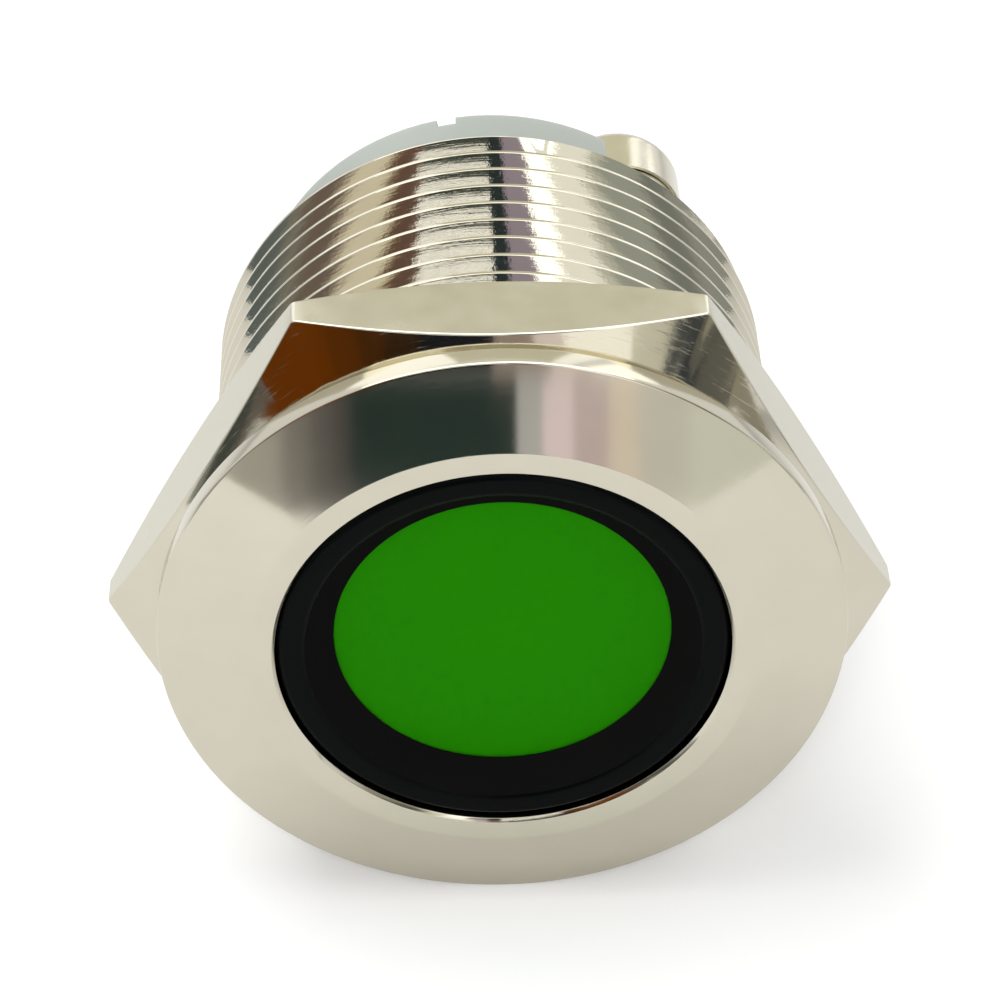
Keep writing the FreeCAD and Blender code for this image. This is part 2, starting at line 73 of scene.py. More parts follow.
# How near to a round piece's rear rim a point has to lie, in millimetres.
STATION_SLACK = 0.02
RADIUS_SLACK = 0.03
# How far past a radius or a station a zone of another finish starts, in millimetres.
MARGIN = 0.01
# The radius at which a scratch has its stated length, in metres, and how strongly scratches stand out.
SCRATCH_RADIUS = 0.011
SCRATCH_GAIN = 6.0
# The colour sockets of a Mix node.
MIX_A, MIX_B, MIX_RESULT = 6, 7, 2

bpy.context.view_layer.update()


class Body(Enum):
    """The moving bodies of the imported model."""

    HOUSING = "housing"
    NUT = "nut"
    WASHER_1 = "washer_1"
    SCREW_1 = "screw_1"
    WASHER_2 = "washer_2"
    SCREW_2 = "screw_2"


class Band(Enum):
    """The heights of the studio's surround, named after what mirrors them."""

    CONE = "cone"
    NUT_EDGE = "nut_edge"
    THREAD = "thread"
    STREAKS = "streaks"
    LID = "lid"
    BEHIND = "behind"


# ---- shader groups


class Wiring:
    """Short ways to add and join nodes in one tree."""

    def __init__(self, tree: Tree) -> None:
        """Keep the tree that the nodes go into."""
        self.tree = tree

    def node(self, kind: str, **values: object) -> Node:
        """Add a node and fill it."""
        return self.fill(self.tree.nodes.new(kind), **values)

    def link(self, source: Socket, target: Socket) -> None:
        """Join two sockets."""
        self.tree.links.new(source, target)

    def feed(self, target: Socket, value: object) -> None:
        """Link a socket to the target, or set a plain value on it.

        Args:
            target: the input.
            value: a socket or a plain value.
        """
        if isinstance(value, Socket):
            self.link(value, target)
        else:
            target.default_value = value

    def fill(self, node: Node, **values: object) -> Node:
        """Set a node's properties and feed its inputs.

        Args:
            node: the node.
            values: properties by their names, and sockets or plain values for the inputs, by the inputs'
                names with a capital first and underscores for spaces.

        Returns:
            The same node.
        """
        for key, value in values.items():
            if key[0].isupper():
                self.feed(node.inputs[key.replace("_", " ")], value)
            else:
                setattr(node, key, value)
        return node

    def math(self, operation: str, first: object, second: object = 0.0, third: object = 0.0) -> Socket:
        """Add a Math node.

        Args:
            operation: Blender's name of the operation.
            first: a socket or a number.
            second: a socket or a number.
            third: a socket or a number, for the operations that take three.

        Returns:
            The node's result.
        """
        node = self.node("ShaderNodeMath", operation=operation)
        for target, value in zip(node.inputs, (first, second, third)):
            self.feed(target, value)
        return node.outputs[0]

    def combine(self, across: object, along: object, up: object = 0.0) -> Socket:
        """Join three numbers into a vector."""
        return self.node("ShaderNodeCombineXYZ", X=across, Y=along, Z=up).outputs[0]

    def split(self, vector: Socket) -> Sequence[Socket]:
        """The three numbers of a vector."""
        return self.node("ShaderNodeSeparateXYZ", Vector=vector).outputs

    def span(self, value: object, low: object, high: object) -> Socket:
        """Map a mask from 0 and 1 to two numbers."""
        return self.node("ShaderNodeMapRange", Value=value, To_Min=low, To_Max=high).outputs["Result"]

    def noise(self, vector: object, scale: object, detail: float, roughness: float) -> Socket:
        """Add a Noise Texture and return its number."""
        return self.node("ShaderNodeTexNoise", Vector=vector, Scale=scale, Detail=detail,
                         Roughness=roughness).outputs["Fac"]

    def place(self) -> Socket:
        """The position on the piece, in metres."""
        return self.node("ShaderNodeTexCoord").outputs["Object"]

    def around_axis(self) -> tuple[Socket, Socket, Socket]:
        """The distance from the barrel's axis, the station along it and the angle around it.

        Returns:
            Three numbers that change over the piece, in metres and radians.
        """
        across, along, up = self.split(self.place())
        squares = self.math("ADD", self.math("MULTIPLY", across, across), self.math("MULTIPLY", up, up))
        return self.math("SQRT", squares), along, self.math("ARCTAN2", up, across)


def new_group(name: str, inputs: Sequence[tuple[str, float]],
              outputs: Sequence[str]) -> tuple[Wiring, Node, Node]:
    """Start a shader group with plain number inputs.

    Args:
        name: the group's name.
        inputs: each input's name and its first value.
        outputs: the names of the outputs, all of them numbers.

    Returns:
        The group's wiring, its Group Input and its Group Output.
    """
    group = bpy.data.node_groups.new(name, "ShaderNodeTree")
    for label, value in inputs:
        socket = group.interface.new_socket(label, in_out="INPUT", socket_type="NodeSocketFloat")
        socket.default_value = value
    for label in outputs:
        group.interface.new_socket(label, in_out="OUTPUT", socket_type="NodeSocketFloat")
    wiring = Wiring(group)
    return wiring, wiring.node("NodeGroupInput"), wiring.node("NodeGroupOutput")


def build_turning_marks() -> Tree:
    """Fine rings around the barrel's axis, as a lathe leaves them.

    Returns:
        A group that puts out the rings' height and a mask of the duller rings.
    """
    sizes = (("Rings per Metre", 9000.0), ("Streak Length", 25.0))
    wiring, start, end = new_group("turning_marks", sizes, ("Height", "Dull"))
    radius, station, angle = wiring.around_axis()
    step = start.outputs["Rings per Metre"]
    streak = wiring.math("MULTIPLY", wiring.math("SINE", angle), start.outputs["Streak Length"])
    rings = wiring.combine(wiring.math("MULTIPLY", radius, step), wiring.math("MULTIPLY", station, step), streak)
    wiring.fill(end, Height=wiring.noise(rings, 1.0, detail=3.0, roughness=0.6),
                Dull=wiring.noise(rings, 0.12, detail=2.0, roughness=0.5))
    return wiring.tree


def build_surface_mottle() -> Tree:
    """Soft patches, as plating and moulding show them.

    Returns:
        A group that puts out a mask of the patches and a fine grain.
    """
    sizes = (("Patch Size", 0.002), ("Grain Size", 0.0001))
    wiring, start, end = new_group("surface_mottle", sizes, ("Patches", "Grain"))
    here = wiring.place()
    patches, grain = (wiring.math("DIVIDE", 1.0, size) for size in start.outputs[:2])
    wiring.fill(end, Patches=wiring.noise(here, patches, detail=3.0, roughness=0.55),
                Grain=wiring.noise(here, grain, detail=2.0, roughness=0.5))
    return wiring.tree


def build_tool_scratches() -> Tree:
    """Short scratches that run around the barrel's axis.

    Returns:
        A group that puts out a mask of the scratches.
    """
    sizes = (("Scratch Width", 0.00006), ("Scratch Length", 0.0012), ("Cover", 0.6))
    wiring, start, end = new_group("tool_scratches", sizes, ("Scratches",))
    width, length, cover = start.outputs[:3]
    radius, station, angle = wiring.around_axis()
    arc = wiring.math("MULTIPLY", angle, SCRATCH_RADIUS)
    lines = wiring.combine(wiring.math("DIVIDE", radius, width), wiring.math("DIVIDE", station, width),
                           wiring.math("DIVIDE", arc, length))
    rise = wiring.math("SUBTRACT", wiring.noise(lines, 1.0, detail=4.0, roughness=0.65), cover)
    wiring.fill(end, Scratches=wiring.math("MULTIPLY", wiring.math("MAXIMUM", rise, 0.0), SCRATCH_GAIN))
    return wiring.tree


TURNING_MARKS = build_turning_marks()
SURFACE_MOTTLE = build_surface_mottle()
TOOL_SCRATCHES = build_tool_scratches()


# ---- finishes


@dataclass(frozen=True)
class Finish:
    """What every finish has: a name and a base colour in linear light."""

    name: str
    colour: Colour

    def start(self) -> tuple[Material, Wiring, Node]:
        """Make the material with its shader.

        Returns:
            The material, its wiring and its Principled BSDF.
        """
        material = bpy.data.materials.new(self.name)
        material.use_nodes = True
        material.diffuse_color = (*self.colour, 1.0)
        shader = material.node_tree.nodes["Principled BSDF"]
        return material, Wiring(material.node_tree), shader

    def group(self, wiring: Wiring, tree: Tree, **values: float) -> Node:
        """Place a shared group, with its inputs set by name with underscores for spaces."""
        return wiring.node("ShaderNodeGroup", node_tree=tree, **values)

    def tint(self, wiring: Wiring, mask: Socket, spread: float) -> Socket:
        """The base colour, varied a little by a mask.

        Args:
            wiring: the material's wiring.
            mask: from 0 to 1, around a half.
            spread: how far the colour falls, as a share of it; it rises by half as much.

        Returns:
            The varied colour.
        """
        mix = wiring.node("ShaderNodeMix", data_type="RGBA", Factor=mask)
        low = tuple(part * (1.0 - spread) for part in self.colour)
        high = tuple(min(1.0, part * (1.0 + spread * 0.5)) for part in self.colour)
        mix.inputs[MIX_A].default_value = (*low, 1.0)
        mix.inputs[MIX_B].default_value = (*high, 1.0)
        return mix.outputs[MIX_RESULT]

    def bump(self, wiring: Wiring, height: Socket, depth: float) -> Socket:
        """The normals of a surface raised by a height of 0 to 1, depth metres high."""
        node = wiring.node("ShaderNodeBump", Strength=1.0, Distance=depth, Height=height)
        return node.outputs["Normal"]


@dataclass(frozen=True)
class TurnedMetal(Finish):
    """Plated metal with lathe grain around the barrel's axis."""

    dullness: float = 0.18
    dullness_spread: float = 0.05
    grain_stretch: float = 0.9
    ring_depth: float = 0.0000006
    rings_per_metre: float = 9000.0
    chatter_depth: float = 0.0
    scratch_depth: float = 0.0
    scratch_cover: float = 0.6
    patch_size: float = 0.0016
    grain_size: float = 0.00012
    tint_spread: float = 0.06

    def build(self) -> Material:
        """Make the material.

        Returns:
            The material, with its nodes in place.
        """
        material, wiring, shader = self.start()
        rings = self.group(wiring, TURNING_MARKS, Rings_per_Metre=self.rings_per_metre)
        mottle = self.group(wiring, SURFACE_MOTTLE, Patch_Size=self.patch_size, Grain_Size=self.grain_size)
        height = wiring.math("MULTIPLY_ADD", mottle.outputs["Grain"], self.chatter_depth / self.ring_depth,
                             rings.outputs["Height"])
        if self.scratch_depth > 0.0:
            scratches = self.group(wiring, TOOL_SCRATCHES, Cover=self.scratch_cover).outputs["Scratches"]
            share = self.scratch_depth / self.ring_depth
            height = wiring.math("ADD", height, wiring.math("MULTIPLY", scratches, share))
        across, _, up = wiring.split(wiring.place())
        spoke = wiring.node("ShaderNodeVectorMath", operation="NORMALIZE", Vector=wiring.combine(across, 0.0, up))
        wiring.fill(shader, Metallic=1.0, Anisotropic=self.grain_stretch, Tangent=spoke.outputs[0],
                    Base_Color=self.tint(wiring, mottle.outputs["Patches"], self.tint_spread),
                    Roughness=wiring.span(rings.outputs["Dull"], self.dullness - self.dullness_spread,
                                          self.dullness + self.dullness_spread),
                    Normal=self.bump(wiring, height, self.ring_depth))
        return material


@dataclass(frozen=True)
class SatinMetal(Finish):
    """Plated or bare metal without a grain."""

    dullness: float = 0.3
    dullness_spread: float = 0.06
    grain_depth: float = 0.0000012
    patch_size: float = 0.0012
    grain_size: float = 0.00009
    tint_spread: float = 0.05

    def build(self) -> Material:
        """Make the material.

        Returns:
            The material, with its nodes in place.
        """
        material, wiring, shader = self.start()
        patches, grain = self.group(wiring, SURFACE_MOTTLE, Patch_Size=self.patch_size,
                                    Grain_Size=self.grain_size).outputs
        wiring.fill(shader, Metallic=1.0, Base_Color=self.tint(wiring, patches, self.tint_spread),
                    Roughness=wiring.span(patches, self.dullness - self.dullness_spread,
                                          self.dullness + self.dullness_spread),
                    Normal=self.bump(wiring, grain, self.grain_depth))
        return material


@dataclass(frozen=True)
class Moulding(Finish):
    """Moulded plastic or rubber, from glossy to matt."""

    dullness: float = 0.4
    gloss: float = 0.5
    grain_depth: float = 0.000002
    grain_size: float = 0.00012
    patch_size: float = 0.0022
    tint_spread: float = 0.04
    dullness_share: float = 0.1
    inner_scatter: float = 0.0

    def build(self) -> Material:
        """Make the material.

        Returns:
            The material, with its nodes in place.
        """
        material, wiring, shader = self.start()
        patches, grain = self.group(wiring, SURFACE_MOTTLE, Patch_Size=self.patch_size,
                                    Grain_Size=self.grain_size).outputs
        wiring.fill(shader, Specular_IOR_Level=self.gloss,
                    Base_Color=self.tint(wiring, patches, self.tint_spread),
                    Roughness=wiring.span(patches, self.dullness * (1.0 - self.dullness_share),
                                          self.dullness * (1.0 + self.dullness_share)),
                    Normal=self.bump(wiring, grain, self.grain_depth))
        if self.inner_scatter > 0.0:
            wiring.fill(shader, Subsurface_Weight=self.inner_scatter, Subsurface_Scale=MM,
                        Subsurface_Radius=(1.0, 1.0, 1.0))
        return material


NICKEL: Colour = (0.62, 0.585, 0.48)

TURNED_HEAD = TurnedMetal("turned_head_nickel", NICKEL, dullness=0.1, dullness_spread=0.02,
                         ring_depth=0.0000007, rings_per_metre=16000.0)
THREADED_BARREL = TurnedMetal("threaded_barrel_nickel", NICKEL, dullness=0.06, dullness_spread=0.02,
                              grain_stretch=0.8, ring_depth=0.0000028, chatter_depth=0.0000013)
NUT_CHAMFER = TurnedMetal("nut_chamfer_nickel", NICKEL, dullness=0.09, dullness_spread=0.03, grain_stretch=0.4,
                          chatter_depth=0.0000004, scratch_depth=0.0000012, scratch_cover=0.61)
NUT_FLAT = SatinMetal("nut_flat_nickel", (0.63, 0.605, 0.50), dullness=0.25, tint_spread=0.09)
BLACK_RING = Moulding("black_ring_gloss", (0.0025, 0.003, 0.003), dullness=0.12, gloss=0.035,
                      grain_depth=0.0000004, tint_spread=0.2)
BLACK_DISH = Moulding("black_ring_satin", (0.007, 0.0065, 0.0065), dullness=0.5, gloss=0.0,
                      grain_depth=0.0000004, tint_spread=0.2)
GREEN_LENS = Moulding("green_lens_plastic", (0.0135, 0.222, 0.0), dullness=0.42, gloss=0.02,
                      grain_depth=0.0000006, tint_spread=0.03, inner_scatter=0.8)
PALE_BASE = Moulding("pale_base_plastic", (0.41, 0.445, 0.405), dullness=0.4, gloss=0.25, inner_scatter=0.3)
GASKET = Moulding("gasket_rubber", (0.018, 0.018, 0.019), dullness=0.65, gloss=0.25, grain_depth=0.000006)
CLEAR_SEAL = Moulding("milky_silicone", (0.55, 0.56, 0.54), dullness=0.5, gloss=0.35)
REFLECTOR = Moulding("white_reflector", (0.8, 0.8, 0.78), dullness=0.5)
WHITE_BOARD = Moulding("white_board_mask", (0.72, 0.73, 0.70), dullness=0.35, grain_size=0.0003)
GREEN_BOARD = Moulding("green_board_mask", (0.02, 0.16, 0.07), dullness=0.3, grain_size=0.0003, tint_spread=0.15)
CHIP = Moulding("led_chip_package", (0.75, 0.72, 0.45), dullness=0.25)
COMPONENT = Moulding("black_component", (0.02, 0.02, 0.02), dullness=0.55)
TINNED = SatinMetal("tinned_wire", (0.6, 0.6, 0.58), dullness=0.32)
CAN = SatinMetal("capacitor_can", (0.55, 0.56, 0.58), dullness=0.35)
BRASS = SatinMetal("insert_brass", (0.62, 0.45, 0.18), dullness=0.33)
TERMINAL_PLATE = SatinMetal("terminal_nickel", (0.66, 0.63, 0.52), dullness=0.3)
SCREW = SatinMetal("screw_nickel", (0.70, 0.67, 0.55), dullness=0.18, grain_depth=0.0000032)


# ---- mesh making


@dataclass(frozen=True)
class Corner:
    """One corner of an outline, in millimetres: radius, station along the axis, and its rounding."""

    radius: float
    station: float
    rounding: float = 0.0


def direction(angle: float) -> Vector:
    """The unit vector at an angle in radians."""
    return Vector((math.cos(angle), math.sin(angle)))


@contextmanager
def editing(mesh: Mesh) -> Iterator[bmesh.types.BMesh]:
    """Open a mesh for editing and write it back at the end.

    Args:
        mesh: the mesh.

    Yields:
        The mesh in a form that can be edited.
    """
    work = bmesh.new()
    work.from_mesh(mesh)
    yield work
    work.to_mesh(mesh)
    work.free()


def rounded(corners: Sequence[Corner], closed: bool, steps: int = 4) -> list[Point]:
    """Replace the corners of an outline by small arcs.

    Args:
        corners: the outline's corners in order.
        closed: whether the last corner joins the first.
        steps: how many runs each arc has.

    Returns:
        The outline's points, in millimetres.
    """
    points: list[Point] = []
    count = len(corners)
    for index, corner in enumerate(corners):
        inner = closed or 0 < index < count - 1
        here = Vector((corner.radius, corner.station))
        if corner.rounding <= 0.0 or not inner:
            points.append((here.x, here.y))
            continue
        before = corners[index - 1]
        after = corners[(index + 1) % count]
        back = (Vector((before.radius, before.station)) - here).normalized()
        ahead = (Vector((after.radius, after.station)) - here).normalized()
        half = back.angle(ahead) / 2.0
        reach = corner.rounding / math.tan(half)
        centre = here + (back + ahead).normalized() * (corner.rounding / math.sin(half))
        first = here + back * reach - centre
        last = here + ahead * reach - centre
        sweep = first.angle_signed(last)
        start = math.atan2(first.y, first.x)
        for step in range(steps + 1):
            angle = start - sweep * step / steps
            spot = centre + direction(angle) * corner.rounding
            points.append((spot.x, spot.y))
    return points


def grid_mesh(name: str, columns: Sequence[Sequence[Vector]], wrap: bool,
              zone: Callable[[int], int] = lambda row: 0) -> Mesh:
    """Join columns of points that go round the axis into one closed skin.

    Args:
        name: the mesh's name.
        columns: columns of equally many points in metres; points on the axis may repeat.
        wrap: whether each column closes on itself.
        zone: the material number of the faces after each row.

    Returns:
        The mesh, with outward faces.
    """
    rows = len(columns[0])
    mesh = bpy.data.meshes.new(name)
    with editing(mesh) as work:
        table = [[work.verts.new(point) for point in column] for column in columns]
        for index, column in enumerate(table):
            following = table[(index + 1) % len(table)]
            for row in range(rows if wrap else rows - 1):
                after = (row + 1) % rows
                face = work.faces.new((column[row], following[row], following[after], column[after]))
                face.material_index = zone(row)
                face.smooth = True
        bmesh.ops.remove_doubles(work, verts=work.verts, dist=MERGE_GAP)
        bmesh.ops.recalc_face_normals(work, faces=work.faces)
    return mesh


def turned_mesh(name: str, outline: Sequence[Point], closed: bool, segments: int = 256,
                zone: Callable[[int], int] = lambda row: 0) -> Mesh:
    """Turn an outline about the axis.

    Args:
        name: the mesh's name.
        outline: (radius, station) points in millimetres.
        closed: whether the last point joins the first.
        segments: how many steps a turn has.
        zone: the material number of the faces after each point.

    Returns:
        The mesh, with outward faces.
    """
    columns = []
    for index in range(segments):
        angle = 2.0 * math.pi * index / segments
        columns.append([Vector((radius * math.cos(angle), station, radius * math.sin(angle))) * MM
                        for radius, station in outline])
    return grid_mesh(name, columns, closed, zone)


def applied(piece: Piece) -> Piece:
    """Turn what a piece's modifiers make into its own plain mesh, and take them off.

    Args:
        piece: the object.

    Returns:
        The same object.
    """
    graph = bpy.context.evaluated_depsgraph_get()
    mesh = bpy.data.meshes.new_from_object(piece.evaluated_get(graph))
    mesh.name = piece.name
    piece.modifiers.clear()
    piece.data = mesh
    return piece


def crease(mesh: Mesh, sharp_angle: float = SHARP_ANGLE) -> None:
    """Keep the edges sharp that turn by more than an angle in degrees."""
    mesh.set_sharp_from_angle(angle=math.radians(sharp_angle))


def even_shading(piece: Piece) -> Piece:
    """Shade a piece smoothly, with its flats kept flat up to their rounded edges.

    Args:
        piece: the object to shade, its sharp edges marked.

    Returns:
        The same object, with the normals in its mesh.
    """
    weigh = piece.modifiers.new("even_normals", "WEIGHTED_NORMAL")
    weigh.keep_sharp = True
    weigh.weight = NORMAL_WEIGHT
    return applied(piece)


def new_object(name: str, data: bpy.types.ID) -> Piece:
    """Put a mesh, a lamp or a camera into the scene.

    Args:
        name: the object's name.
        data: what it shows.

    Returns:
        The new object.
    """
    item = bpy.data.objects.new(name, data)
    bpy.context.scene.collection.objects.link(item)
    return item


def new_piece(name: str, mesh: Mesh, finishes: Sequence[Material]) -> Piece:
    """Put a mesh into the scene as one piece with its materials.

    Args:
        name: the piece's name.
        mesh: its mesh.
        finishes: its materials, in the mesh's order.

    Returns:
        The new piece.
    """
    for finish in finishes:
        mesh.materials.append(finish)
    return new_object(name, mesh)


def turned_piece(name: str, outline: Sequence[Point], closed: bool, finishes: Sequence[Material],
                 segments: int = 256, zone: Callable[[int], int] = lambda row: 0) -> Piece:
    """Turn an outline into a shaded piece.

    Args:
        name: the piece's name.
        outline: (radius, station) points in millimetres.
        closed: whether the last point joins the first.
        finishes: its materials.
        segments: how many steps a turn has.
        zone: the material number of the faces after each point.

    Returns:
        The new piece.
    """
    piece = new_piece(name, turned_mesh(name, outline, closed, segments, zone), finishes)
    crease(piece.data)
    return even_shading(piece)


def round_rear_rim(work: bmesh.types.BMesh, node: str, width: float) -> None:
    """Round the outer rim at the rear of a round piece.

    Args:
        work: the piece's mesh, merged.
        node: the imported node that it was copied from.
        width: how wide the rounding is, in millimetres.
    """
    low, high = (Vector(corner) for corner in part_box(node))
    axis = (low + high) / 2.0
    radius = (high.x - low.x) / 2.0

    def on_rim(vertex: bmesh.types.BMVert) -> bool:
        """Whether a point lies on the rim."""
        reach = math.hypot(vertex.co.x - axis.x, vertex.co.z - axis.z)
        return abs(vertex.co.y - high.y) < STATION_SLACK * MM and abs(reach - radius) < RADIUS_SLACK * MM

    rim = [edge for edge in work.edges if all(on_rim(vertex) for vertex in edge.verts)]
    bmesh.ops.bevel(work, geom=rim, offset=width * MM, segments=6, profile=0.5, affect="EDGES")


def softened_copy(name: str, node: str, finish: Material, width: float,
                  steps: int = 2, rim: float = 0.0) -> Piece:
    """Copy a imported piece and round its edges.

    Args:
        name: the new piece's name.
        node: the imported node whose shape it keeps.
        finish: its material.
        width: how wide the rounded edges are, in millimetres.
        steps: how many runs each rounded edge has.
        rim: how wide the rounding of the rear rim is, in millimetres.

    Returns:
        The new piece.
    """
    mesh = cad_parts[node].data.copy()
    mesh.materials.clear()
    with editing(mesh) as work:
        bmesh.ops.remove_doubles(work, verts=work.verts, dist=MERGE_GAP)
        bmesh.ops.dissolve_limit(work, angle_limit=math.radians(FLAT_ANGLE), verts=work.verts, edges=work.edges)
        if rim > 0.0:
            round_rear_rim(work, node, rim)
        for face in work.faces:
            face.smooth = True
            face.material_index = 0
    piece = new_piece(name, mesh, (finish,))
    bevel = piece.modifiers.new("soft_edges", "BEVEL")
    bevel.width = width * MM
    bevel.segments = steps
    bevel.limit_method = "ANGLE"
    bevel.angle_limit = math.radians(BEVEL_ANGLE)
    bevel.use_clamp_overlap = True
    applied(piece)
    crease(piece.data)
    return even_shading(piece)


def settle(piece: Piece, body: Body, slot: str, *nodes: str) -> None:
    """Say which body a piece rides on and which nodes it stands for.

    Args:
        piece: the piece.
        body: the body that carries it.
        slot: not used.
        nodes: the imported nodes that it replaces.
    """
    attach(piece, body.value)
    if nodes:
        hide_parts(*nodes)
    LOG.info("%s: %d faces on %s", piece.name, len(piece.data.polygons), body.value)


def dress(node: str, material: Material) -> None:
    """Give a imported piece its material.

    Args:
        node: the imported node.
        material: its material.
    """
    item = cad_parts[node]
    item.data.materials.clear()
    item.data.materials.append(material)
    LOG.info("%s: dressed in %s", node, material.name)


# ---- sub-assemblies


@dataclass
class ThreadRidge:
    """The helical ridge on the barrel, in millimetres."""

    pitch: float = 1.0
    core_radius: float = 9.0
    height: float = 0.45
    base_width: float = 0.825
    crest_width: float = 0.125
    crest_rounding: float = 0.035
    sunk: float = 0.05
    first_station: float = 1.0
    last_station: float = 15.0
    fade_in: float = 0.03
    least_share: float = 0.06
    crest_steps: int = 3
    steps_per_turn: int = 144

    def tree(self, finish: Material) -> Tree:
        """Build the nodes that sweep the ridge's section along a helix.

        Args:
            finish: the ridge's material.

        Returns:
            A Geometry Nodes tree with named inputs.
        """
        tree = bpy.data.node_groups.new("thread_ridge", "GeometryNodeTree")
        tree.interface.new_socket("Geometry", in_out="INPUT", socket_type="NodeSocketGeometry")
        for label in ("Core Radius", "Height", "Base Width", "Crest Width", "Crest Rounding", "Turns",
                      "Length", "First Station", "Fade In"):
            tree.interface.new_socket(label, in_out="INPUT", socket_type="NodeSocketFloat")
        tree.interface.new_socket("Steps per Turn", in_out="INPUT", socket_type="NodeSocketInt")
        tree.interface.new_socket("Geometry", in_out="OUTPUT", socket_type="NodeSocketGeometry")
        wiring = Wiring(tree)
        sizes = wiring.node("NodeGroupInput").outputs
        spiral = wiring.node(
            "GeometryNodeCurveSpiral", Resolution=sizes["Steps per Turn"], Reverse=True,
            Rotations=sizes["Turns"], Start_Radius=sizes["Core Radius"], End_Radius=sizes["Core Radius"],
            Height=sizes["Length"])
        upright = wiring.node("GeometryNodeSetCurveNormal", mode="Z_UP", Curve=spiral.outputs["Curve"])
        section = wiring.node(
            "GeometryNodeCurvePrimitiveQuadrilateral", mode="TRAPEZOID", Offset=0.0,
            Height=sizes["Height"], Bottom_Width=sizes["Base Width"], Top_Width=sizes["Crest Width"])
        height = wiring.split(wiring.node("GeometryNodeInputPosition").outputs[0])[1]
        rounding = wiring.math("MULTIPLY", sizes["Crest Rounding"], wiring.math("GREATER_THAN", height, 0.0))
        soft = wiring.node(
            "GeometryNodeFilletCurve", mode="POLY", Curve=section.outputs["Curve"],
            Radius=rounding, Count=self.crest_steps)
        lift = wiring.combine(0.0, wiring.math("MULTIPLY", sizes["Height"], 0.5))
        seat = wiring.node("GeometryNodeTransform", Geometry=soft.outputs["Curve"], Translation=lift)
        turn = wiring.node(
            "GeometryNodeTransform", Geometry=seat.outputs["Geometry"],
            Rotation=(0.0, 0.0, math.radians(-90.0)))
        along = wiring.node("GeometryNodeSplineParameter").outputs["Factor"]
        fade = wiring.math("MINIMUM", wiring.math("DIVIDE", along, sizes["Fade In"]), 1.0)
        sweep = wiring.node(
            "GeometryNodeCurveToMesh", Curve=upright.outputs["Curve"], Fill_Caps=True,
            Profile_Curve=turn.outputs["Geometry"], Scale=wiring.math("MAXIMUM", fade, self.least_share))
        lay = wiring.node(
            "GeometryNodeTransform", Geometry=sweep.outputs["Mesh"],
            Translation=wiring.combine(0.0, sizes["First Station"]), Rotation=(math.radians(-90.0), 0.0, 0.0))
        real = wiring.node("GeometryNodeRealizeInstances", Geometry=lay.outputs["Geometry"])
        coat = wiring.node("GeometryNodeSetMaterial", Geometry=real.outputs["Geometry"], Material=finish)
        wiring.link(coat.outputs["Geometry"], wiring.node("NodeGroupOutput").inputs[0])
        return tree

    def build(self, finish: Material) -> Piece:
        """Sweep the ridge and leave it as a plain mesh.

        Args:
            finish: the ridge's material.

        Returns:
            The ridge, which the housing takes up.
        """
        tree = self.tree(finish)
        carrier = new_object("thread_ridge", bpy.data.meshes.new("thread_ridge"))
        nodes = carrier.modifiers.new("thread_ridge", "NODES")
        nodes.node_group = tree
        length = self.last_station - self.first_station
        spread = self.sunk * (self.base_width - self.crest_width) / self.height
        values = {
            "Core Radius": (self.core_radius - self.sunk) * MM,
            "Height": (self.height + self.sunk) * MM,
            "Base Width": (self.base_width + spread) * MM,
            "Crest Width": self.crest_width * MM,
            "Crest Rounding": self.crest_rounding * MM,
            "Turns": length / self.pitch,
            "Length": length * MM,
            "First Station": self.first_station * MM,
            "Fade In": self.fade_in,
            "Steps per Turn": self.steps_per_turn,
        }
        for item in tree.interface.items_tree:
            if item.in_out == "INPUT" and item.name in values:
                nodes[item.identifier] = values[item.name]
        applied(carrier)
        with editing(carrier.data) as work:
            bmesh.ops.remove_doubles(work, verts=work.verts, dist=RIDGE_GAP)
            bmesh.ops.recalc_face_normals(work, faces=work.faces)
            for face in work.faces:
                face.smooth = True
                face.material_index = 1
        return carrier


